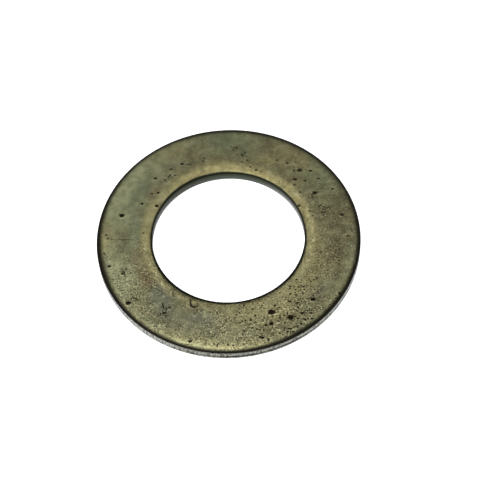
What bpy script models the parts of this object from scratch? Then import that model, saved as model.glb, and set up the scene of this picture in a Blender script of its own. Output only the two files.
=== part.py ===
"""Flat washer for an M20 bolt: one ring stamped from steel sheet.

Units are metres. +Z runs up the hole's axis, and the origin is the hole's centre on the lower bearing face.
The ring is a turned shape: its cross-section stands at +X and a Screw modifier sweeps it about Z.
"""

import math

import bpy

# Driving dimensions of the stamping.
HOLE_DIAMETER = 0.0208
OUTSIDE_DIAMETER = 0.0360
THICKNESS = 0.0017

# The sheet is dragged down where it is blanked and pierced, which rolls both upper edges.
OUTER_ROLL_WIDTH = 0.00090
OUTER_ROLL_DEPTH = 0.00040
HOLE_ROLL_WIDTH = 0.00042
HOLE_ROLL_DEPTH = 0.00020

# Tumbling leaves only a small round on the two lower edges.
LOWER_EDGE_RADIUS = 0.00012

# Facets: steps about the axis, and steps along each quarter turn of the cross-section.
RING_STEPS = 120
OUTER_ROLL_STEPS = 7
HOLE_ROLL_STEPS = 5
LOWER_EDGE_STEPS = 3

MERGE_DISTANCE = 0.00001

OBJECT_NAME = "flat_washer"
STEEL_COLOUR = (0.30, 0.28, 0.19, 1.0)
STEEL_ROUGHNESS = 0.45
STEEL_METALLIC = 0.85


def clear_scene():
    """Remove every object that the file already holds."""
    for existing in list(bpy.data.objects):
        bpy.data.objects.remove(existing, do_unlink=True)


def make_collection(name):
    """Return a new collection, linked to the scene."""
    collection = bpy.data.collections.new(name)
    bpy.context.scene.collection.children.link(collection)
    return collection


def make_metal(name, colour, roughness, metallic):
    """Return a Principled BSDF material."""
    material = bpy.data.materials.new(name)
    material.use_nodes = True
    shader = material.node_tree.nodes["Principled BSDF"]
    shader.inputs["Base Color"].default_value = colour
    shader.inputs["Roughness"].default_value = roughness
    shader.inputs["Metallic"].default_value = metallic
    material.diffuse_color = colour
    return material


def quarter_ellipse(centre, semi_x, semi_z, start_degrees, steps):
    """Return points clockwise along a quarter of an ellipse, from start_degrees to 90 degrees less."""
    points = []
    for step in range(steps + 1):
        angle = math.radians(start_degrees - 90.0 * step / steps)
        x = centre[0] + semi_x * math.cos(angle)
        z = centre[1] + semi_z * math.sin(angle)
        points.append((x, z))
    return points


def washer_section():
    """Return the closed cross-section in x and z: out along the top, down the rim, in and up the hole."""
    hole = HOLE_DIAMETER / 2.0
    rim = OUTSIDE_DIAMETER / 2.0
    low = LOWER_EDGE_RADIUS
    outer_roll = quarter_ellipse(
        (rim - OUTER_ROLL_WIDTH, THICKNESS - OUTER_ROLL_DEPTH),
        OUTER_ROLL_WIDTH,
        OUTER_ROLL_DEPTH,
        90.0,
        OUTER_ROLL_STEPS,
    )
    lower_rim = quarter_ellipse((rim - low, low), low, low, 0.0, LOWER_EDGE_STEPS)
    lower_hole = quarter_ellipse((hole + low, low), low, low, -90.0, LOWER_EDGE_STEPS)
    hole_roll = quarter_ellipse(
        (hole + HOLE_ROLL_WIDTH, THICKNESS - HOLE_ROLL_DEPTH),
        HOLE_ROLL_WIDTH,
        HOLE_ROLL_DEPTH,
        180.0,
        HOLE_ROLL_STEPS,
    )
    return outer_roll + lower_rim + lower_hole + hole_roll


def make_profile_object(name, section, collection):
    """Return an object whose mesh is the section as a closed wire in the XZ plane."""
    vertices = [(x, 0.0, z) for x, z in section]
    count = len(vertices)
    edges = [(i, (i + 1) % count) for i in range(count)]
    mesh = bpy.data.meshes.new(name)
    mesh.from_pydata(vertices, edges, [])
    profile = bpy.data.objects.new(name, mesh)
    collection.objects.link(profile)
    return profile


def turn_about_z(profile, steps):
    """Sweep the profile through a full turn, and shade it smooth with its flat faces kept flat."""
    screw = profile.modifiers.new("turn", "SCREW")
    screw.axis = "Z"
    screw.angle = math.tau
    screw.steps = steps
    screw.render_steps = steps
    screw.use_merge_vertices = True
    screw.merge_threshold = MERGE_DISTANCE
    screw.use_smooth_shade = True
    normals = profile.modifiers.new("flat_faces", "WEIGHTED_NORMAL")
    normals.mode = "FACE_AREA"


def make_washer(collection):
    """Build the stamped ring."""
    washer = make_profile_object(OBJECT_NAME, washer_section(), collection)
    turn_about_z(washer, RING_STEPS)
    steel = make_metal("dull_plated_steel", STEEL_COLOUR, STEEL_ROUGHNESS, STEEL_METALLIC)
    washer.data.materials.append(steel)
    return washer


def main():
    clear_scene()
    make_washer(make_collection(OBJECT_NAME))


main()
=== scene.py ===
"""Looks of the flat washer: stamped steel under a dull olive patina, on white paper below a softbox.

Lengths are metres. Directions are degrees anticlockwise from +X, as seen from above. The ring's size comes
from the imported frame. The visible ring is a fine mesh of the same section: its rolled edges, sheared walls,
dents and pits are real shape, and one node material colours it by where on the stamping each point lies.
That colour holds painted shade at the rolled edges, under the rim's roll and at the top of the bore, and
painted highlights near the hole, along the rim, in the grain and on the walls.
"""

import math
import random

import bmesh
import bpy
import numpy as np
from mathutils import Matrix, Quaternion, Vector, noise


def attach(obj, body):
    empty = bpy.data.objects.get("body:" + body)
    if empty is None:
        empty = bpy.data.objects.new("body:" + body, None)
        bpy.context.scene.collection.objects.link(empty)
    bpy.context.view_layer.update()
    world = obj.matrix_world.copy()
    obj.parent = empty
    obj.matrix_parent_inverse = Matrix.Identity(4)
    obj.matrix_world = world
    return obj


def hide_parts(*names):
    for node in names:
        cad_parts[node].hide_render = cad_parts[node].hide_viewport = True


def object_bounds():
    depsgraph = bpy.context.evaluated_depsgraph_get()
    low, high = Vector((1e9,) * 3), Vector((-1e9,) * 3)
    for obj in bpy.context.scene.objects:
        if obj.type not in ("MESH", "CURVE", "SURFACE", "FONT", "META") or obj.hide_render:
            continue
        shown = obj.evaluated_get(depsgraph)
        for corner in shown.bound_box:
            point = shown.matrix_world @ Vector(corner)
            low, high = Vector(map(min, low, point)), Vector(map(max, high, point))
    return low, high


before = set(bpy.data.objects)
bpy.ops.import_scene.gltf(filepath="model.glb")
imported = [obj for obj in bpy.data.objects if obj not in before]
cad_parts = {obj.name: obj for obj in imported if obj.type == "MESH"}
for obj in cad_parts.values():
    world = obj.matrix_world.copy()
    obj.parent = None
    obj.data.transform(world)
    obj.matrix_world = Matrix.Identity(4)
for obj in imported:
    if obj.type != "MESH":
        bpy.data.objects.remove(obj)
cad_low, cad_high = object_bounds()

MM = 0.001
TINY = 1e-6
NODE = "flat_washer"
BODY = "root"

# The ring's size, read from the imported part.
RIM = cad_high.x
THICK = cad_high.z - cad_low.z
HOLE = min(math.hypot(v.co.x, v.co.y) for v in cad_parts[NODE].data.vertices)

# Section of the stamping: rolled upper edges and small rounds below.
RIM_ROLL_WIDTH = 0.90 * MM
RIM_ROLL_DEPTH = 0.40 * MM
HOLE_ROLL_WIDTH = 0.42 * MM
HOLE_ROLL_DEPTH = 0.20 * MM
LOW_ROUND = 0.12 * MM

# The face falls away gently before each rolled edge.
HOLE_DISH_WIDTH = 1.9 * MM
HOLE_DISH_DEPTH = 0.13 * MM
RIM_FALL_WIDTH = 1.7 * MM
RIM_FALL_DEPTH = 0.05 * MM

# Sheared walls: smooth below the roll, torn and drawn back below that.
WALL_REACH = 0.03 * MM
TORN_SHARE = 0.40
TORN_DEPTH = 0.020 * MM
TEAR_RELIEF = 0.020 * MM
TEAR_WIDTH = 0.32 * MM
TEAR_STRETCH = 0.30
TORN_EDGE_FADE = (0.06 * MM, 0.10 * MM)
TORN_EDGE_RELIEF = 0.16 * MM
TORN_EDGE_WIDTH = 1.3 * MM

# Gentle unevenness of rolled sheet.
WAVE_RELIEF = 0.010 * MM
WAVE_WIDTH = 3.4 * MM
RIPPLE_RELIEF = 0.0025 * MM
RIPPLE_WIDTH = 0.75 * MM

# Shifts that keep the noises from repeating each other.
RIPPLE_SHIFT = 5.0
TORN_EDGE_SHIFT = 9.0
TEAR_SHIFT = 2.0
EDGE_UNEVEN_SHIFT = 21.0

# Mesh density.
SEGMENTS = 640
FACE_STEP = 0.14 * MM
BASE_STEP = 0.45 * MM
RIM_ROLL_ROWS = 9
RIM_WALL_ROWS = 9
HOLE_ROLL_ROWS = 6
HOLE_WALL_ROWS = 8
LOW_ROWS = 3
REFINE_MARGIN = 1.25
FINE_PIT_WIDTH = 0.40 * MM

# Corrosion pits placed one by one: direction in degrees, distance from the axis and width in millimetres.
PLACED_PITS = (
    (292.2, 13.35, 0.86), (299.4, 15.30, 0.80), (314.5, 15.20, 0.64), (289.2, 14.90, 0.58),
    (215.0, 16.80, 0.60), (163.4, 15.10, 0.66), (26.2, 13.75, 0.64), (43.6, 14.55, 0.66),
    (45.8, 13.95, 0.36), (41.1, 12.95, 0.56), (193.0, 16.70, 0.46), (199.0, 15.35, 0.42),
    (150.0, 11.10, 0.46), (305.2, 15.70, 0.44), (39.2, 15.50, 0.48), (32.8, 15.50, 0.40),
    (7.9, 15.85, 0.48), (23.7, 16.15, 0.40), (36.2, 13.80, 0.40), (51.9, 14.40, 0.44),
    (66.9, 11.40, 0.40), (31.6, 12.10, 0.36), (38.2, 12.25, 0.38), (15.3, 11.80, 0.32),
    (115.4, 13.65, 0.46), (122.7, 13.70, 0.38), (133.7, 14.00, 0.46), (125.8, 13.00, 0.36),
    (140.6, 12.10, 0.40), (152.5, 13.10, 0.38), (74.9, 12.70, 0.34), (286.4, 14.90, 0.38),
    (282.7, 16.50, 0.42), (22.4, 10.80, 0.42), (250.0, 17.00, 0.44), (324.5, 17.50, 0.42),
    (24.4, 13.10, 0.34), (295.9, 12.70, 0.34), (304.6, 13.35, 0.36), (355.6, 16.35, 0.34),
    (71.6, 11.70, 0.34), (78.0, 12.30, 0.34), (63.5, 11.40, 0.28), (130.5, 12.90, 0.34),
    (174.0, 11.60, 0.28), (177.7, 16.43, 0.32), (58.0, 14.10, 0.34), (48.6, 15.20, 0.30),
    (175.6, 16.70, 0.30), (111.5, 13.10, 0.34), (103.0, 12.90, 0.30), (101.5, 13.30, 0.30),
)

# Cracks and scrapes: direction and distance of both ends, and width in millimetres.
SCRATCHES = (
    (213.6, 16.10, 214.8, 15.70, 0.15), (214.8, 15.70, 216.4, 15.55, 0.17),
    (215.4, 15.95, 216.2, 15.80, 0.14), (227.0, 13.60, 228.6, 13.90, 0.14),
    (228.6, 13.90, 229.8, 14.10, 0.18), (231.0, 14.60, 232.4, 14.50, 0.15),
    (232.2, 14.95, 233.8, 14.85, 0.14), (230.2, 14.95, 230.8, 15.20, 0.12),
    (226.9, 11.45, 228.6, 11.85, 0.14), (178.6, 13.90, 178.9, 14.50, 0.14),
    (179.2, 12.60, 177.8, 16.40, 0.07), (355.0, 16.10, 355.8, 16.55, 0.16),
    (240.4, 11.20, 241.4, 11.60, 0.18), (241.4, 11.60, 242.9, 12.02, 0.26),
    (242.9, 12.02, 245.0, 12.02, 0.34), (245.0, 12.02, 246.3, 11.72, 0.24),
    (246.3, 11.72, 246.2, 11.35, 0.14),
)

# Shallow round dents with a raised outline: direction, distance, width and depth in millimetres.
DENTS = ((243.6, 11.60, 0.80, 0.045), (161.0, 13.40, 0.90, 0.012))
DENT_LIP_SHARE = 0.4
DENT_LIP_AT = 1.0
LIP_SPREAD = 0.22

# Swarms of small pits: direction, distance, reach along and across the ring in millimetres, how many.
PIT_SWARMS = (
    (13.0, 13.7, 0.9, 0.8, 20),
    (298.0, 16.8, 3.8, 0.5, 34),
    (303.0, 14.4, 3.4, 1.6, 26),
    (317.0, 13.0, 2.6, 1.2, 22),
    (276.0, 13.6, 3.0, 1.6, 18),
    (345.0, 15.2, 2.4, 1.3, 12),
    (125.0, 12.8, 3.2, 0.8, 12),
    (79.0, 13.4, 1.0, 0.9, 8),
    (84.0, 14.6, 0.6, 0.3, 5),
    (200.0, 15.2, 1.6, 1.2, 9),
    (231.0, 14.4, 1.0, 0.9, 9),
    (262.0, 16.6, 3.0, 0.6, 9),
    (20.0, 12.6, 2.4, 0.9, 10),
    (46.0, 14.6, 1.2, 0.9, 4),
    (186.0, 16.8, 0.8, 0.5, 6),
)
SMALL_PIT_WIDTHS = (0.16 * MM, 0.31 * MM)

# Pits of the underside.
BASE_PITS = 26
BASE_PIT_WIDTHS = (0.2 * MM, 0.5 * MM)
BASE_PIT_MARGIN = 1.0 * MM

# Seed of every random draw.
SEED = 7

# A pit's bowl and lip, as shares of its width, and its ragged outline, in half widths.
PIT_STRETCH = 1.2
PIT_DEPTH_SHARE = 0.24
PIT_LIP_SHARE = 0.03
PIT_LIP_AT = 1.15
PIT_RAGGEDNESS = 0.34
PIT_RAG_WIDTH = 0.9
PIT_RAG_SHIFT = 3.7
PIT_REACH = 2.0

# How dark a pit is: across its own width, by how wide it is, and by where it is.
PIT_DARK = (0.66, 1.24)
PIT_DARK_WIDTHS = (0.25 * MM, 0.75 * MM)
PIT_DARK_LEAST = 0.82
PIT_DARK_LOBES = ((298.0, 26.0, 0.3), (222.0, 20.0, 0.25), (46.0, 20.0, -0.08), (150.0, 8.0, 0.3))

# Patina and painted light. Lobes are (middle, spread, strength) round the ring, in degrees. A profile's two
# shares of the width are where an edge's painted shade starts to fade and where it ends. Every edge wanders a
# little.
EDGE_UNEVEN_WIDTH = 1.6 * MM

# Painted shade at the rim: a dark line, and a softer painted shade inside it.
RIM_DARK_WIDTH = 0.56 * MM
RIM_DARK_PROFILE = (0.28, 1.0)
RIM_UNEVENNESS = 0.2
RIM_DARK_LOBES = (
    (75.0, 60.0, 1.0),
    (355.0, 28.0, 0.4),
    (172.0, 34.0, 0.8),
    (196.0, 18.0, 0.6),
    (232.0, 24.0, 0.4),
    (300.0, 30.0, 0.65),
)
RIM_SHADE_WIDTH = 1.6 * MM
RIM_SHADE_PROFILE = (0.0, 1.0)
RIM_SHADE_LOBES = ((312.0, 28.0, 0.25), (34.0, 24.0, 0.75), (76.0, 16.0, 0.35), (190.0, 22.0, 0.2))

# Painted shade at the hole: a dark line, and a softer painted shade outside it.
HOLE_DARK_WIDTH = 0.24 * MM
HOLE_DARK_PROFILE = (0.50, 1.0)
HOLE_UNEVENNESS = 0.25
HOLE_DARK_LOBES = ((116.0, 26.0, 0.7), (218.0, 34.0, 1.4), (268.0, 30.0, 0.8), (318.0, 34.0, 1.5))
HOLE_SHADE_WIDTH = 1.1 * MM
HOLE_SHADE_PROFILE = (0.3, 1.0)
HOLE_SHADE_LOBES = ((25.0, 22.0, 0.22), (107.0, 14.0, 0.25), (230.0, 16.0, 0.4), (286.0, 14.0, 0.15))

# Tan band round the hole, part tan tint and part painted highlight, with a ring of painted highlight flecks
# in it.
HALO_UNEVENNESS = 0.2
HALO_RISE = (0.05 * MM, 0.50 * MM)
HALO_FADE = (0.80 * MM, 2.20 * MM)
HALO_FAINT_LOBES = ((252.0, 45.0, 0.6), (146.0, 22.0, 0.45), (322.0, 22.0, 0.35))
SHEEN_AT = 1.10 * MM
SHEEN_WIDTH = 0.32 * MM
SHEEN_EVERYWHERE = 0.10
SHEEN_LOBES = ((20.0, 28.0, 0.8), (92.0, 22.0, 0.3), (208.0, 28.0, 0.9), (346.0, 22.0, 0.6))

# Coarse grain, which the smooth patches thin out.
GRAIN_LOBES = ((284.0, 46.0, 1.0), (338.0, 30.0, 0.2), (211.0, 28.0, 0.65), (18.0, 36.0, 0.22))
GRAIN_EVERYWHERE = 0.18
GRAIN_THINNING = 0.75

# Parts of the walls with a painted highlight, and torn parts.
BRIGHT_WALL_LOBES = ((205.0, 26.0, 1.0), (338.0, 20.0, 1.0))
BRIGHT_BORE_LOBES = ((26.0, 22.0, 1.0), (158.0, 17.0, 0.8))
SCARRED_WALL_LOBES = ((283.0, 26.0, 1.3), (252.0, 12.0, 0.3), (100.0, 60.0, 0.8))

# Soft patches: direction, distance, half length along the ring, half width across it, and strength. The pale
# patches that hug the hole and the rim, and the tan ones along the rim, are painted highlight; the rest are
# patches of the patina's own colour.
STAINS_AND_PAINTED_HIGHLIGHTS = {
    "green": (
        (30.0, 15.8, 2.6, 1.8, 0.5),
        (86.0, 15.8, 3.4, 2.2, 0.8),
        (150.0, 15.0, 6.0, 2.4, 0.9),
        (175.0, 12.8, 2.0, 1.0, 0.8),
        (140.0, 11.9, 1.6, 0.7, 0.5),
        (190.0, 13.6, 2.2, 1.2, 0.6),
        (203.0, 15.4, 2.6, 1.8, 0.45),
        (278.0, 11.7, 2.6, 0.6, 0.4),
        (230.0, 17.0, 3.2, 0.5, 0.5),
        (186.0, 15.5, 1.2, 0.8, 0.4),
        (40.0, 16.9, 2.8, 0.5, 0.5),
    ),
    "brown": (
        (6.0, 14.6, 3.4, 1.7, 0.8),
        (347.0, 14.9, 3.4, 1.4, 1.0),
        (257.0, 13.2, 2.2, 0.9, 0.4),
        (60.0, 15.0, 3.0, 1.8, 0.3),
        (82.0, 14.5, 1.0, 0.8, 0.5),
        (115.0, 14.0, 3.6, 2.0, 0.5),
        (178.0, 14.0, 0.8, 1.0, 0.4),
        (138.0, 12.4, 1.2, 0.8, 0.5),
        (206.0, 12.4, 2.2, 0.8, 0.4),
        (218.0, 12.6, 1.2, 1.0, 0.6),
        (223.0, 12.6, 1.0, 1.0, 0.7),
        (27.0, 11.4, 0.8, 0.35, 0.8),
        (267.0, 14.0, 0.8, 0.6, 0.4),
        (292.0, 15.6, 2.4, 0.9, 0.5),
        (209.0, 12.8, 1.6, 0.9, 0.8),
        (56.0, 12.8, 1.6, 0.9, 0.5),
        (315.0, 14.9, 1.6, 0.9, 0.4),
        (60.0, 11.1, 3.0, 0.4, 0.5),
    ),
    "rust": (
        (196.0, 13.0, 2.2, 0.9, 0.5),
        (211.0, 12.9, 1.4, 0.7, 0.6),
        (173.0, 16.6, 1.2, 0.7, 0.6),
        (140.0, 12.6, 1.8, 0.7, 0.4),
        (40.0, 12.9, 4.0, 0.6, 0.3),
        (350.0, 11.8, 2.4, 0.5, 0.35),
        (271.0, 15.5, 1.8, 0.9, 0.3),
        (80.0, 12.0, 3.0, 0.6, 0.3),
    ),
    "grey": (
        (226.0, 13.2, 1.9, 2.2, 1.0),
        (219.0, 12.6, 1.2, 1.2, 0.7),
        (250.0, 14.2, 3.8, 1.7, 0.7),
        (233.0, 14.8, 1.3, 1.2, 0.5),
        (120.0, 14.8, 1.6, 1.0, 0.3),
        (255.0, 13.3, 2.4, 1.0, 0.7),
        (321.0, 15.0, 1.8, 0.9, 0.5),
        (163.0, 13.2, 1.6, 0.9, 0.6),
        (141.0, 14.2, 2.2, 0.8, 0.4),
        (308.0, 11.0, 3.4, 0.4, 0.7),
        (166.0, 10.9, 1.8, 0.4, 0.5),
    ),
    "pale": (
        (138.0, 16.6, 4.0, 0.9, 0.7),
        (160.0, 16.2, 3.6, 1.4, 0.9),
        (164.0, 14.0, 1.6, 0.9, 0.6),
        (194.0, 16.3, 3.4, 1.1, 1.0),
        (128.0, 15.0, 3.4, 2.2, 0.4),
        (108.0, 16.4, 3.0, 0.7, 0.4),
        (148.0, 17.0, 3.4, 0.5, 0.6),
        (272.0, 14.2, 2.0, 1.7, 0.4),
        (147.0, 15.8, 3.2, 0.8, 0.5),
        (152.0, 17.0, 3.0, 0.5, 0.5),
        (290.0, 13.4, 3.4, 1.6, 0.35),
        (130.0, 13.0, 1.8, 0.9, 0.35),
        (345.0, 16.9, 3.0, 0.5, 0.4),
        (260.0, 16.75, 6.5, 0.45, 0.8),
        (199.0, 15.2, 1.0, 1.6, 0.7),
        (352.0, 11.1, 2.6, 0.4, 0.7),
        (158.0, 11.0, 2.4, 0.4, 0.6),
        (204.0, 11.1, 2.2, 0.4, 0.7),
        (315.0, 11.0, 1.8, 0.35, 0.6),
        (90.0, 11.4, 1.2, 0.4, 0.4),
        (297.0, 17.0, 4.0, 0.5, 0.5),
        (337.0, 17.0, 3.4, 0.5, 0.6),
        (210.0, 16.9, 2.6, 0.5, 0.6),
        (150.0, 16.9, 3.0, 0.6, 1.0),
        (182.0, 16.9, 2.4, 0.5, 0.7),
        (258.0, 17.0, 3.4, 0.4, 0.9),
        (318.0, 17.1, 2.4, 0.4, 0.4),
        (0.0, 11.0, 1.8, 0.35, 0.7),
        (318.0, 11.2, 3.4, 0.4, 0.9),
        (342.0, 11.2, 2.4, 0.4, 0.8),
        (272.0, 11.2, 3.0, 0.35, 0.5),
        (209.0, 11.2, 1.6, 0.4, 0.5),
        (267.0, 16.8, 3.0, 0.4, 0.4),
        (201.0, 15.6, 2.2, 1.7, 1.0),
        (251.5, 14.4, 0.6, 0.4, 0.7),
    ),
    "tan": (
        (52.0, 15.6, 2.8, 1.8, 0.4),
        (62.0, 13.4, 1.6, 0.9, 0.5),
        (96.0, 12.0, 2.0, 0.6, 0.5),
        (256.0, 16.7, 5.0, 0.5, 0.5),
        (272.0, 16.9, 4.0, 0.6, 0.3),
        (116.0, 16.0, 1.8, 1.0, 0.4),
        (280.0, 12.8, 4.2, 1.4, 0.5),
        (296.0, 14.4, 1.8, 1.0, 0.4),
        (315.0, 12.6, 5.0, 1.4, 0.5),
        (345.0, 12.2, 4.0, 0.9, 0.4),
        (178.0, 17.0, 2.4, 0.8, 0.6),
    ),
    "smooth": (
        (228.0, 13.2, 3.0, 1.7, 0.9),
        (246.0, 14.2, 2.8, 1.2, 0.7),
        (330.0, 16.2, 2.6, 1.0, 0.7),
        (150.0, 14.5, 7.0, 2.6, 0.8),
        (85.0, 15.5, 6.0, 1.8, 0.8),
    ),
}


def smooth(low, high, value):
    """Return 0 at low, 1 at high and an eased value between them, for arrays too."""
    share = np.clip((value - low) / (high - low), 0.0, 1.0)
    return share * share * (3.0 - 2.0 * share)


def on_ring(direction, distance):
    """Return x and y for a direction in degrees and a distance from the axis."""
    angle = math.radians(direction)
    return distance * math.cos(angle), distance * math.sin(angle)


def ring_offset(points, direction, distance):
    """Return how far each point lies outwards of, and anticlockwise from, a place on the ring."""
    angle = math.radians(direction)
    out = points[:, 0] * math.cos(angle) + points[:, 1] * math.sin(angle) - distance * MM
    side = points[:, 1] * math.cos(angle) - points[:, 0] * math.sin(angle)
    return out, side


def noise_at(points, width, shift=0.0):
    """Return smooth noise of about -1 to 1 at each point, with features about width across."""
    scaled = points / width + shift
    return np.array([noise.noise(Vector(p)) for p in scaled])


# The ring's mesh.


def arc(centre, semi_r, semi_z, start, rows):
    """Return points clockwise along a quarter of an ellipse, without its last point."""
    angles = np.radians(start - 90.0 * np.arange(rows) / rows)
    return np.stack([centre[0] + semi_r * np.cos(angles), centre[1] + semi_z * np.sin(angles)], 1)


def line(start, end, rows):
    """Return evenly spaced points from start towards end, without end itself."""
    share = np.arange(rows)[:, None] / rows
    return (1.0 - share) * np.array(start) + share * np.array(end)


def ring_section():
    """Return the section in radius and height: out along the top, down the rim, in below, up the hole."""
    top_in, top_out = HOLE + HOLE_ROLL_WIDTH, RIM - RIM_ROLL_WIDTH
    low_in, low_out = HOLE + LOW_ROUND, RIM - LOW_ROUND
    rim_shoulder, hole_shoulder = THICK - RIM_ROLL_DEPTH, THICK - HOLE_ROLL_DEPTH
    return np.vstack(
        [
            line((top_in, THICK), (top_out, THICK), round((top_out - top_in) / FACE_STEP)),
            arc((top_out, rim_shoulder), RIM_ROLL_WIDTH, RIM_ROLL_DEPTH, 90.0, RIM_ROLL_ROWS),
            line((RIM, rim_shoulder), (RIM, LOW_ROUND), RIM_WALL_ROWS),
            arc((low_out, LOW_ROUND), LOW_ROUND, LOW_ROUND, 0.0, LOW_ROWS),
            line((low_out, 0.0), (low_in, 0.0), round((low_out - low_in) / BASE_STEP)),
            arc((low_in, LOW_ROUND), LOW_ROUND, LOW_ROUND, -90.0, LOW_ROWS),
            line((HOLE, LOW_ROUND), (HOLE, hole_shoulder), HOLE_WALL_ROWS),
            arc((top_in, hole_shoulder), HOLE_ROLL_WIDTH, HOLE_ROLL_DEPTH, 180.0, HOLE_ROLL_ROWS),
        ]
    )


def turned_mesh(name, section):
    """Return a closed mesh of quads, the section turned about the axis."""
    count = len(section)
    angles = np.arange(SEGMENTS) * math.tau / SEGMENTS
    x = np.outer(np.cos(angles), section[:, 0])
    y = np.outer(np.sin(angles), section[:, 0])
    z = np.tile(section[:, 1], (SEGMENTS, 1))
    points = np.stack([x, y, z], 2).reshape(-1, 3)
    turn, row = np.meshgrid(np.arange(SEGMENTS), np.arange(count), indexing="ij")
    next_turn = (turn + 1) % SEGMENTS * count
    next_row = (row + 1) % count
    here = turn * count
    quads = np.stack([here + row, here + next_row, next_turn + next_row, next_turn + row], 2)
    mesh = bpy.data.meshes.new(name)
    mesh.from_pydata(points.tolist(), [], quads.reshape(-1, 4).tolist())
    return mesh


# Pits.


def pit_list():
    """Return every pit as (start, end, half width, on_top): placed pits, scratches, then seeded ones."""
    draw = random.Random(SEED)
    pits = [(on_ring(d, r * MM), on_ring(d, r * MM), w * MM / 2.0, True) for d, r, w in PLACED_PITS]
    for d0, r0, d1, r1, width in SCRATCHES:
        pits.append((on_ring(d0, r0 * MM), on_ring(d1, r1 * MM), width * MM / 2.0, True))
    for direction, distance, along, across, count in PIT_SWARMS:
        for _ in range(count):
            r = distance * MM + draw.gauss(0.0, across * MM / 2.0)
            turn = direction + math.degrees(draw.gauss(0.0, along / 2.0) / distance)
            r = min(max(r, HOLE + HOLE_ROLL_WIDTH), RIM - RIM_ROLL_WIDTH / 2.0)
            place = on_ring(turn, r)
            pits.append((place, place, draw.uniform(*SMALL_PIT_WIDTHS) / 2.0, True))
    for _ in range(BASE_PITS):
        turn = draw.uniform(0.0, 360.0)
        place = on_ring(turn, draw.uniform(HOLE + BASE_PIT_MARGIN, RIM - BASE_PIT_MARGIN))
        pits.append((place, place, draw.uniform(*BASE_PIT_WIDTHS) / 2.0, False))
    return pits


def from_pit(places, start, end):
    """Return how far each place lies from the pit's line, with lengths along X counted as shorter."""
    start, end = np.array(start), np.array(end)
    reach = end - start
    offset = places - start
    share = np.clip(offset @ reach / max(reach @ reach, TINY**2), 0.0, 1.0)
    away = offset - share[:, None] * reach
    return np.hypot(away[:, 0] / PIT_STRETCH, away[:, 1])


def refine_at_pits(mesh, pits):
    """Split the faces under each pit into smaller ones, so that the pit has a shape of its own."""
    bm = bmesh.new()
    bm.from_mesh(mesh)
    for finest in (0.0, FINE_PIT_WIDTH):
        centres = np.array([f.calc_center_median() for f in bm.faces])
        flat_top = centres[:, 2] > THICK - RIM_ROLL_DEPTH / 2.0
        flat_base = centres[:, 2] < LOW_ROUND / 2.0
        chosen = np.zeros(len(centres), bool)
        for start, end, half, on_top in pits:
            if 2.0 * half >= finest:
                near = from_pit(centres[:, :2], start, end) < half * REFINE_MARGIN + FACE_STEP / 2.0
                chosen |= near & (flat_top if on_top else flat_base)
        bm.faces.ensure_lookup_table()
        edges = {edge for index in np.flatnonzero(chosen) for edge in bm.faces[index].edges}
        in_order = sorted(edges, key=lambda edge: edge.index)
        bmesh.ops.subdivide_edges(bm, edges=in_order, cuts=1, use_grid_fill=True)
        bm.edges.index_update()
    many_sided = [f for f in bm.faces if len(f.verts) > 4]
    bmesh.ops.triangulate(bm, faces=many_sided)
    bm.to_mesh(mesh)
    bm.free()


def pit_fields(points, pits):
    """Return how deep each point lies in a pit, with lips below zero, and how stained it is, 0 to 1."""
    depth = np.zeros(len(points))
    stain = np.zeros(len(points))
    top_side = points[:, 2] > THICK / 2.0
    for number, (start, end, half, on_top) in enumerate(pits):
        reach = from_pit(points[:, :2], start, end)
        near = np.flatnonzero((reach < half * PIT_REACH) & (top_side == on_top))
        if not len(near):
            continue
        outline = (points[near] - (*start, 0.0)) / half
        outline[:, 2] = number * PIT_RAG_SHIFT
        ragged = 1.0 + PIT_RAGGEDNESS * noise_at(outline, PIT_RAG_WIDTH)
        share = reach[near] / half * ragged
        bowl = np.clip(1.0 - share**2, 0.0, 1.0) ** 2 * 2.0 * half * PIT_DEPTH_SHARE
        lip = np.exp(-(((share - PIT_LIP_AT) / LIP_SPREAD) ** 2)) * 2.0 * half * PIT_LIP_SHARE
        depth[near] = np.maximum(depth[near], bowl) - lip
        tint = pit_darkness(start, half) * (1.0 - smooth(*PIT_DARK, share))
        stain[near] = np.maximum(stain[near], tint)
    return depth, stain


def pit_darkness(place, half):
    """Return how dark a pit is, 0 to 1: wide ones are darker, and so are those in some directions."""
    widest = smooth(*PIT_DARK_WIDTHS, 2.0 * half)
    direction = np.array([math.degrees(math.atan2(place[1], place[0]))])
    return min(PIT_DARK_LEAST + (1.0 - PIT_DARK_LEAST) * widest + lobes(direction, PIT_DARK_LOBES)[0], 1.0)


def dent_field(points):
    """Return how deep each point lies in a dent, with lips below zero."""
    depth = np.zeros(len(points))
    for direction, distance, width, drop in DENTS:
        share = np.hypot(*ring_offset(points, direction, distance)) / (width * MM / 2.0)
        bowl = np.clip(1.0 - share**2, 0.0, 1.0)
        lip = np.exp(-(((share - DENT_LIP_AT) / LIP_SPREAD) ** 2)) * DENT_LIP_SHARE
        depth += (bowl - lip) * drop * MM
    return depth


# Shape and zones.


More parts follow.
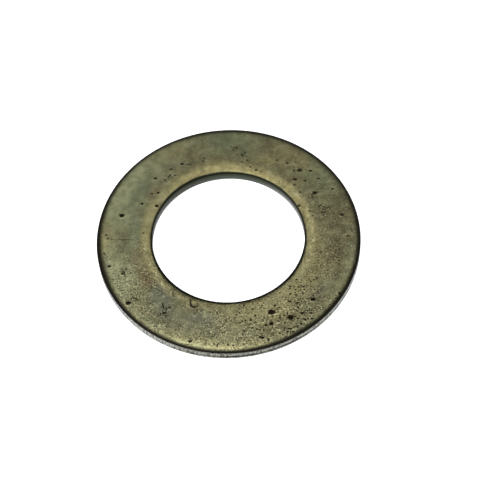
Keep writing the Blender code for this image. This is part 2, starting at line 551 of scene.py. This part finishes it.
def shape_ring(mesh, pits):
    """Give the turned mesh its real surface, and store on it the zones that the material reads."""
    flat = np.empty(len(mesh.vertices) * 3, np.float32)
    mesh.vertices.foreach_get("co", flat)
    points = flat.reshape(-1, 3).astype(float)
    radius = np.hypot(points[:, 0], points[:, 1])
    height = points[:, 2]
    outward = points[:, :2] / radius[:, None]
    inner_side = radius < (HOLE + RIM) / 2.0

    # How far each point is up the rolled edges, 1 on the face and 0 on the walls.
    roll_depth = np.where(inner_side, HOLE_ROLL_DEPTH, RIM_ROLL_DEPTH)
    raised = np.clip((height - (THICK - roll_depth)) / roll_depth, 0.0, 1.0)
    in_hole = (radius < HOLE + TINY) & (height < THICK - HOLE_ROLL_DEPTH + TINY)
    at_rim = radius > RIM - WALL_REACH
    wall = (in_hole | at_rim) & (height > LOW_ROUND - TINY)

    dish = np.clip(1.0 - (radius - HOLE) / HOLE_DISH_WIDTH, 0.0, 1.0) ** 2 * HOLE_DISH_DEPTH
    fall = np.clip(1.0 - (RIM - radius) / RIM_FALL_WIDTH, 0.0, 1.0) ** 2 * RIM_FALL_DEPTH
    wave = (noise_at(points, WAVE_WIDTH) - 1.0) * WAVE_RELIEF / 2.0
    ripple = (noise_at(points, RIPPLE_WIDTH, RIPPLE_SHIFT) - 1.0) * RIPPLE_RELIEF / 2.0
    pit_depth, pit_stain = pit_fields(points, pits)

    top = height > THICK / 2.0
    lowered = (dish + fall + dent_field(points) - wave - ripple) * raised + pit_depth
    points[:, 2] = np.where(top, height - lowered, height + np.maximum(pit_depth, 0.0))

    # Torn part of the walls.
    shoulder = THICK - roll_depth
    torn_top = shoulder * TORN_SHARE
    edge_noise = noise_at(points * (1.0, 1.0, 0.0), TORN_EDGE_WIDTH, TORN_EDGE_SHIFT)
    fade_low, fade_high = torn_top - TORN_EDGE_FADE[0], torn_top + TORN_EDGE_FADE[1]
    torn = (1.0 - smooth(fade_low, fade_high, height + edge_noise * TORN_EDGE_RELIEF)) * wall
    tears = noise_at(points * (1.0, 1.0, TEAR_STRETCH), TEAR_WIDTH, TEAR_SHIFT)
    back = torn * (TORN_DEPTH + TEAR_RELIEF * (tears + 0.5))
    inward = np.where(inner_side, 1.0, -1.0) * np.clip(back, 0.0, None)
    points[:, :2] += outward * inward[:, None]

    mesh.vertices.foreach_set("co", points.astype(np.float32).ravel())
    zones = {
        "pit": pit_stain,
        "wall": wall * 1.0,
        "bore": (inner_side & wall) * 1.0,
        "rise": np.clip(height / THICK, 0.0, 1.0),
    }
    zones.update(face_zones(points, radius, top))
    zones.update(wall_zones(points, inner_side))
    for name, values in zones.items():
        layer = mesh.attributes.new(name, "FLOAT", "POINT")
        layer.data.foreach_set("value", np.asarray(values, np.float32))
    mesh.shade_smooth()
    mesh.update()


def face_zones(points, radius, top):
    """Return the upper face's zones by name, each 0 to 1: patina, grain, painted shade and painted highlight.
    """
    direction = np.degrees(np.arctan2(points[:, 1], points[:, 0]))
    uneven = noise_at(points, EDGE_UNEVEN_WIDTH, EDGE_UNEVEN_SHIFT)
    from_rim = RIM - radius
    from_hole = radius - HOLE
    zones = {name: stain_and_highlight_field(points, stains_and_highlights) * top for name, stains_and_highlights in STAINS_AND_PAINTED_HIGHLIGHTS.items()}
    # Painted shade at the rolled edges: a dark line at the rim and at the hole, and softer painted shade
    # beside each.
    rim_reach = RIM_DARK_WIDTH * (1.0 + lobes(direction, RIM_DARK_LOBES) + RIM_UNEVENNESS * uneven)
    hole_reach = HOLE_DARK_WIDTH * (1.0 + lobes(direction, HOLE_DARK_LOBES) + HOLE_UNEVENNESS * uneven)
    rim_dark = 1.0 - smooth(*RIM_DARK_PROFILE, from_rim / rim_reach)
    hole_dark = 1.0 - smooth(*HOLE_DARK_PROFILE, from_hole / hole_reach)
    rim_shade = 1.0 - smooth(*RIM_SHADE_PROFILE, from_rim / RIM_SHADE_WIDTH)
    rim_shade *= lobes(direction, RIM_SHADE_LOBES)
    hole_shade = 1.0 - smooth(*HOLE_SHADE_PROFILE, from_hole / HOLE_SHADE_WIDTH)
    hole_shade *= lobes(direction, HOLE_SHADE_LOBES)
    zones["dark"] = np.maximum(np.maximum(rim_dark, rim_shade), hole_shade) * top
    zones["lip"] = hole_dark * top
    # Tan band near the hole, part tint and part painted highlight.
    halo_reach = from_hole * (1.0 + HALO_UNEVENNESS * uneven)
    halo = smooth(*HALO_RISE, from_hole) * (1.0 - smooth(*HALO_FADE, halo_reach))
    zones["halo"] = halo * (1.0 - lobes(direction, HALO_FAINT_LOBES)) * top
    # A ring of painted highlight near the hole.
    painted_sheen = np.exp(-(((from_hole - SHEEN_AT) / SHEEN_WIDTH) ** 2))
    painted_sheen *= SHEEN_EVERYWHERE + lobes(direction, SHEEN_LOBES)
    zones["painted_sheen"] = np.clip(painted_sheen, 0.0, 1.0) * top
    grain = GRAIN_EVERYWHERE + lobes(direction, GRAIN_LOBES)
    grain *= 1.0 - GRAIN_THINNING * zones.pop("smooth")
    zones["grain"] = np.clip(grain, 0.0, 1.0) * top
    return zones


def wall_zones(points, inner_side):
    """Return where the walls get a painted highlight and where the outer one is torn black, each 0 to 1."""
    direction = np.degrees(np.arctan2(points[:, 1], points[:, 0]))
    # Painted highlight on the walls where they catch the light.
    in_bore = lobes(direction, BRIGHT_BORE_LOBES)
    on_rim = lobes(direction, BRIGHT_WALL_LOBES)
    bright = np.where(inner_side, in_bore, on_rim)
    return {
        "bright": np.clip(bright, 0.0, 1.0),
        "scarred": np.clip(lobes(direction, SCARRED_WALL_LOBES), 0.0, 1.0),
    }


def lobes(direction, swells):
    """Return the sum of smooth swells round the ring, each (middle, spread, strength)."""
    total = np.zeros(len(direction))
    for middle, spread, strength in swells:
        away = (direction - middle + 180.0) % 360.0 - 180.0
        total += strength * np.exp(-((away / spread) ** 2))
    return total


def stain_and_highlight_field(points, stains_and_highlights):
    """Return how strongly each point is covered by soft patches, as their sum: patches of patina colour, some
    of them painted highlight.
    """
    total = np.zeros(len(points))
    for direction, distance, along, across, amount in stains_and_highlights:
        out, side = ring_offset(points, direction, distance)
        total += amount * np.exp(-((side / (along * MM)) ** 2) - (out / (across * MM)) ** 2)
    return np.clip(total, 0.0, 1.0)


def make_washer():
    """Return the visible ring, standing for the CAD node."""
    mesh = turned_mesh("washer_ring", ring_section())
    pits = pit_list()
    refine_at_pits(mesh, pits)
    shape_ring(mesh, pits)
    washer = bpy.data.objects.new("washer_ring", mesh)
    bpy.context.scene.collection.objects.link(washer)
    return washer


# Material.

# Colours as a display shows them: red, green and blue of 0 to 255.
PALETTE = {
    "olive": (138, 134, 98),
    "green": (122, 134, 102),
    "brown": (108, 100, 72),
    "rust": (140, 116, 86),
    "grey": (110, 113, 95),
    # Pale, and tan along the rim, also serve as painted highlight where the patches hug the hole and the rim.
    "pale": (170, 172, 132),
    "tan": (176, 162, 108),
    # Tan band near the hole: part tint, part painted highlight.
    "halo": (180, 168, 114),
    "dark_mottle": (84, 80, 58),
    "pale_mottle": (190, 186, 144),
    "speck": (56, 52, 36),
    # Painted highlight specks in the grain.
    "painted_glint": (210, 204, 160),
    # Painted highlight in a ring near the hole.
    "painted_sheen": (226, 218, 166),
    # The next two are painted shade at the rolled edges of the rim and the hole.
    "painted_edge_shade": (36, 34, 23),
    "painted_hole_line_shade": (27, 29, 17),
    "pit": (33, 27, 15),
    "cut_steel": (222, 221, 209),
    # Painted highlight on the walls where they catch the light.
    "painted_highlight_steel": (255, 255, 255),
    "streak": (84, 82, 72),
    "tear": (34, 34, 31),
    # Painted shade under the rim's roll.
    "painted_shade_under_roll": (32, 32, 23),
    # The bore: painted light low down, painted highlight at its sides, and painted shade at the top.
    "bore_painted_light_low": (136, 143, 138),
    "bore_painted_highlight": (246, 242, 246),
    "bore": (82, 90, 68),
    "bore_scribble": (66, 66, 55),
    "bore_painted_shade_top": (28, 31, 14),
}

# How wide the features of each noise are, and how high the grain stands.
CLUMP_WIDTH = 1.2 * MM
BROWN_DRIFT_WIDTH = 2.6 * MM
GREEN_DRIFT_WIDTH = 1.9 * MM
HALO_PATCH_WIDTH = 1.1 * MM
MOTTLE_WIDTH = 1.0 * MM
FLECK_WIDTH = 0.45 * MM
SCRIBBLE_WIDTH = 0.28 * MM
SCRIBBLE_STRETCH = (1.0, 1.0, 0.8)
GRAIN_WIDTH = 0.23 * MM
STREAK_WIDTH = 0.20 * MM
STREAK_STRETCH = (1.0, 1.0, 0.22)
GRAIN_RELIEF = 0.020 * MM
GRAIN_RELIEF_LEAST = 0.15
PATCH_STRENGTH = 0.85

# Finish of the plating, and of the bottom of a pit.
PLATED_ROUGHNESS, PIT_ROUGHNESS = 0.36, 0.85
PLATED_METALLIC, PIT_METALLIC = 0.88, 0.2
PLATED_SPECULAR, PIT_SPECULAR = 0.5, 0.08


class NodeTree:
    """Short ways to add nodes to a material."""

    def __init__(self, name):
        self.material = bpy.data.materials.new(name)
        self.material.use_nodes = True
        self.tree = self.material.node_tree
        self.shader = self.tree.nodes["Principled BSDF"]
        coordinates = self.tree.nodes.new("ShaderNodeTexCoord")
        self.place = coordinates.outputs["Object"]

    def plug(self, value, socket):
        """Link a node's output to the socket, or set the socket to a plain value."""
        if isinstance(value, bpy.types.NodeSocket):
            self.tree.links.new(value, socket)
        else:
            socket.default_value = value

    def zone(self, name):
        """Return a zone that is stored on the mesh."""
        node = self.tree.nodes.new("ShaderNodeAttribute")
        node.attribute_name = name
        return node.outputs["Fac"]

    def maths(self, operation, first, second=0.0, third=0.0):
        """Return a Math node's result."""
        node = self.tree.nodes.new("ShaderNodeMath")
        node.operation = operation
        for value, socket in zip((first, second, third), node.inputs):
            self.plug(value, socket)
        return node.outputs[0]

    def eased(self, value, low, high, start=0.0, end=1.0):
        """Return value mapped from low..high to start..end with an eased, clamped step."""
        node = self.tree.nodes.new("ShaderNodeMapRange")
        node.interpolation_type = "SMOOTHSTEP"
        for number, item in enumerate((value, low, high, start, end)):
            self.plug(item, node.inputs[number])
        return node.outputs["Result"]

    def blend(self, share, first, second):
        """Return a mix of two colours."""
        node = self.tree.nodes.new("ShaderNodeMix")
        node.data_type = "RGBA"
        node.clamp_factor = True
        self.plug(share, node.inputs[0])
        self.plug(first, node.inputs[6])
        self.plug(second, node.inputs[7])
        return node.outputs[2]

    def cloud(self, width, detail=3.0, roughness=0.55, stretch=(1.0, 1.0, 1.0), shift=0.0):
        """Return noise of 0 to 1 with features about width across."""
        mapping = self.tree.nodes.new("ShaderNodeMapping")
        mapping.inputs["Scale"].default_value = stretch
        mapping.inputs["Location"].default_value = (shift, shift, shift)
        self.plug(self.place, mapping.inputs["Vector"])
        node = self.tree.nodes.new("ShaderNodeTexNoise")
        self.plug(mapping.outputs[0], node.inputs["Vector"])
        node.inputs["Scale"].default_value = 1.0 / width
        node.inputs["Detail"].default_value = detail
        node.inputs["Roughness"].default_value = roughness
        return node.outputs["Fac"]

    def bump(self, height, depth):
        """Return a normal that is raised by height times depth, in metres."""
        node = self.tree.nodes.new("ShaderNodeBump")
        node.inputs["Distance"].default_value = depth
        self.plug(height, node.inputs["Height"])
        return node.outputs["Normal"]


def shade(name):
    """Return a palette colour as the linear colour that a node takes."""
    values = []
    for channel in PALETTE[name]:
        share = channel / 255.0
        values.append(share / 12.92 if share <= 0.04045 else ((share + 0.055) / 1.055) ** 2.4)
    return (*values, 1.0)


def patina_material():
    """Dull olive plating with dark pits, and bare sheared walls, with painted shade and painted highlights in
    the colour.
    """
    nodes = NodeTree("patinated_steel")
    pit = nodes.zone("pit")
    grain = nodes.cloud(GRAIN_WIDTH, 2.0, 0.7, shift=7.0)
    clumps = nodes.eased(nodes.cloud(CLUMP_WIDTH, 3.0, 0.6, shift=5.0), 0.38, 0.60, 0.35, 1.1)
    coarse = nodes.maths("MULTIPLY", nodes.zone("grain"), clumps)
    colour = nodes.blend(nodes.zone("wall"), face_colour(nodes, grain, coarse), wall_colour(nodes))
    colour = nodes.blend(pit, colour, shade("pit"))
    nodes.plug(colour, nodes.shader.inputs["Base Color"])
    for socket, plated, pitted in (
        ("Roughness", PLATED_ROUGHNESS, PIT_ROUGHNESS),
        ("Metallic", PLATED_METALLIC, PIT_METALLIC),
        ("Specular IOR Level", PLATED_SPECULAR, PIT_SPECULAR),
    ):
        nodes.plug(nodes.eased(pit, 0.0, 1.0, plated, pitted), nodes.shader.inputs[socket])
    relief = nodes.maths("MULTIPLY", grain, nodes.maths("ADD", coarse, GRAIN_RELIEF_LEAST))
    nodes.plug(nodes.bump(relief, GRAIN_RELIEF), nodes.shader.inputs["Normal"])
    return nodes.material


def face_colour(nodes, grain, coarse):
    """Return the plated face's colour: blotches, some of them painted highlight, a tan band partly painted
    highlight with a ring of painted highlight flecks, mottling, grain with painted highlight specks, and
    painted shade at the rims.
    """
    drift = nodes.cloud(BROWN_DRIFT_WIDTH, 4.0, 0.6)
    colour = nodes.blend(nodes.eased(drift, 0.44, 0.62, 0.0, 0.5), shade("olive"), shade("brown"))
    drift = nodes.cloud(GREEN_DRIFT_WIDTH, 4.0, 0.6, shift=11.0)
    colour = nodes.blend(nodes.eased(drift, 0.50, 0.66, 0.0, 0.4), colour, shade("green"))
    # Patina patches; the pale ones along the hole and the rim, and the tan ones along the rim, are painted
    # highlight.
    for name in ("green", "brown", "rust", "grey", "pale", "tan"):
        strength = nodes.maths("MULTIPLY", nodes.zone(name), PATCH_STRENGTH)
        colour = nodes.blend(strength, colour, shade(name))
    # Tan band near the hole: part tint, part painted highlight.
    patchy = nodes.eased(nodes.cloud(HALO_PATCH_WIDTH, 4.0, 0.65, shift=17.0), 0.36, 0.58, 0.45, 0.95)
    colour = nodes.blend(nodes.maths("MULTIPLY", nodes.zone("halo"), patchy), colour, shade("halo"))
    tone = nodes.cloud(MOTTLE_WIDTH, 4.0, 0.62, shift=3.0)
    rough_part = nodes.eased(nodes.zone("grain"), 0.0, 0.7, 0.75, 1.0)
    darker = nodes.maths("MULTIPLY", nodes.eased(tone, 0.36, 0.55, 0.45, 0.0), rough_part)
    paler = nodes.maths("MULTIPLY", nodes.eased(tone, 0.52, 0.70, 0.0, 0.35), rough_part)
    colour = nodes.blend(darker, colour, shade("dark_mottle"))
    colour = nodes.blend(paler, colour, shade("pale_mottle"))
    specks = nodes.maths("MULTIPLY", nodes.eased(grain, 0.50, 0.36), coarse)
    # Pale specks in the grain are painted highlight; the dark specks are the plating's own.
    painted_glints = nodes.maths("MULTIPLY", nodes.eased(grain, 0.52, 0.68), coarse)
    colour = nodes.blend(specks, colour, shade("speck"))
    colour = nodes.blend(painted_glints, colour, shade("painted_glint"))
    # A ring of painted highlight flecks near the hole.
    flecks = nodes.cloud(FLECK_WIDTH, 4.0, 0.7, shift=13.0)
    painted_sheen = nodes.maths("MULTIPLY", nodes.zone("painted_sheen"), nodes.eased(flecks, 0.50, 0.62, 0.05, 1.0))
    colour = nodes.blend(painted_sheen, colour, shade("painted_sheen"))
    # Painted shade at the rim and the hole.
    colour = nodes.blend(nodes.zone("dark"), colour, shade("painted_edge_shade"))
    return nodes.blend(nodes.zone("lip"), colour, shade("painted_hole_line_shade"))


def wall_colour(nodes):
    """Return the sheared walls' colour: bare grey steel with painted highlights, painted shade under the
    roll, torn black low down, and a bore with painted light low down and painted shade at the top.
    """
    scribble = nodes.cloud(SCRIBBLE_WIDTH, 3.0, 0.7, SCRIBBLE_STRETCH, 1.0)
    streaks = nodes.cloud(STREAK_WIDTH, 2.0, 0.6, STREAK_STRETCH, 4.0)
    rise = nodes.maths("ADD", nodes.zone("rise"), nodes.maths("MULTIPLY_ADD", scribble, 0.20, -0.10))
    jagged = nodes.maths("ADD", nodes.zone("rise"), nodes.maths("MULTIPLY_ADD", streaks, 0.60, -0.30))
    # Painted highlight where the outer wall catches the light.
    outer = nodes.blend(nodes.zone("bright"), shade("cut_steel"), shade("painted_highlight_steel"))
    outer = nodes.blend(nodes.eased(streaks, 0.54, 0.41, 0.0, 0.8), outer, shade("streak"))
    low_band = nodes.maths("MULTIPLY", nodes.eased(rise, 0.14, 0.22), nodes.eased(rise, 0.46, 0.36))
    tears = nodes.maths("MULTIPLY", low_band, nodes.eased(scribble, 0.74, 0.50, 0.65, 1.0))
    outer = nodes.blend(nodes.maths("MULTIPLY", tears, nodes.zone("scarred")), outer, shade("tear"))
    # Painted shade under the roll.
    outer = nodes.blend(nodes.eased(jagged, 0.68, 0.88), outer, shade("painted_shade_under_roll"))
    # The bore: painted light low down with painted highlights at its sides, and painted shade at the top.
    lit = nodes.blend(nodes.zone("bright"), shade("bore_painted_light_low"), shade("bore_painted_highlight"))
    bore = nodes.blend(nodes.eased(rise, 0.02, 0.62), lit, shade("bore"))
    bore = nodes.blend(nodes.eased(scribble, 0.56, 0.40, 0.0, 0.4), bore, shade("bore_scribble"))
    bore = nodes.blend(nodes.eased(rise, 0.62, 0.84), bore, shade("bore_painted_shade_top"))
    return nodes.blend(nodes.zone("bore"), outer, bore)


# Studio.

# The camera's reach and aim are in rim radii.
CAMERA_ELEVATION = 57.61
CAMERA_REACH = 11.16
CAMERA_ROLL = -2.9
CAMERA_LENS = 110.7
CAMERA_SENSOR = 36.0
CAMERA_CLIP_START = 0.005
AIM = (0.0856, -0.0502)

PAPER_SIZE = 1.2
PAPER_GAP = 0.02 * MM
PAPER_TOOTH = 0.4 * MM
PAPER_SHADES = ((0.78, 0.78, 0.78, 1.0), (0.84, 0.84, 0.84, 1.0))
WHITE = (1.0, 1.0, 1.0, 1.0)

SOFTBOX_TOWARDS = (-0.20, -0.08, 1.0)
SOFTBOX_DISTANCE = 0.5
SOFTBOX_SIZE = 0.42
SOFTBOX_RADIANCE = 2.4
SURROUND_COLOUR = (0.97, 0.99, 1.0, 1.0)
SURROUND_STRENGTH = 0.42


def make_paper():
    """White paper under the washer, which is full white to the lens."""
    bpy.ops.mesh.primitive_plane_add(size=PAPER_SIZE, location=(0.0, 0.0, -PAPER_GAP))
    paper = bpy.context.object
    paper.name = "paper"
    nodes = NodeTree("white_paper")
    tooth = nodes.cloud(PAPER_TOOTH, 2.0)
    nodes.plug(nodes.blend(tooth, *PAPER_SHADES), nodes.shader.inputs["Base Color"])
    nodes.shader.inputs["Emission Color"].default_value = WHITE
    path = nodes.tree.nodes.new("ShaderNodeLightPath")
    nodes.plug(path.outputs["Is Camera Ray"], nodes.shader.inputs["Emission Strength"])
    paper.data.materials.append(nodes.material)


def make_softbox():
    """Square area light that faces the washer from above."""
    data = bpy.data.lights.new("overhead", "AREA")
    data.size = SOFTBOX_SIZE
    data.energy = SOFTBOX_RADIANCE * math.pi * SOFTBOX_SIZE * SOFTBOX_SIZE
    lamp = bpy.data.objects.new("overhead", data)
    bpy.context.scene.collection.objects.link(lamp)
    towards = Vector(SOFTBOX_TOWARDS).normalized()
    lamp.location = towards * SOFTBOX_DISTANCE
    lamp.rotation_mode = "QUATERNION"
    lamp.rotation_quaternion = towards.to_track_quat("Z", "Y")


def make_world():
    """White surroundings to the lens, and dimmer ones to the metal."""
    world = bpy.data.worlds.new("studio")
    bpy.context.scene.world = world
    world.use_nodes = True
    tree = world.node_tree
    tree.nodes.clear()
    out = tree.nodes.new("ShaderNodeOutputWorld")
    mix = tree.nodes.new("ShaderNodeMixShader")
    path = tree.nodes.new("ShaderNodeLightPath")
    seen = tree.nodes.new("ShaderNodeBackground")
    seen.inputs["Color"].default_value = WHITE
    lighting = tree.nodes.new("ShaderNodeBackground")
    lighting.inputs["Color"].default_value = SURROUND_COLOUR
    lighting.inputs["Strength"].default_value = SURROUND_STRENGTH
    tree.links.new(path.outputs["Is Camera Ray"], mix.inputs[0])
    tree.links.new(lighting.outputs[0], mix.inputs[1])
    tree.links.new(seen.outputs[0], mix.inputs[2])
    tree.links.new(mix.outputs[0], out.inputs[0])


def make_camera():
    """Camera that looks down at the washer from the front, with its right side tipped down a little."""
    data = bpy.data.cameras.new("camera")
    data.lens = CAMERA_LENS
    data.sensor_width = CAMERA_SENSOR
    data.clip_start = CAMERA_CLIP_START
    camera = bpy.data.objects.new("camera", data)
    bpy.context.scene.collection.objects.link(camera)
    elevation = math.radians(CAMERA_ELEVATION)
    face = Vector((0.0, 0.0, THICK))
    eye = face + Vector((0.0, -math.cos(elevation), math.sin(elevation))) * CAMERA_REACH * RIM
    aim = face + Vector((AIM[0], AIM[1], 0.0)) * RIM
    level = (eye - aim).to_track_quat("Z", "Y")
    camera.location = eye
    camera.rotation_mode = "QUATERNION"
    camera.rotation_quaternion = level @ Quaternion((0.0, 0.0, 1.0), math.radians(CAMERA_ROLL))
    bpy.context.scene.camera = camera


washer = make_washer()
washer.data.materials.append(patina_material())
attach(washer, BODY)
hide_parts(NODE)
make_paper()
make_softbox()
make_world()
make_camera()
bpy.context.scene.view_settings.view_transform = "Standard"
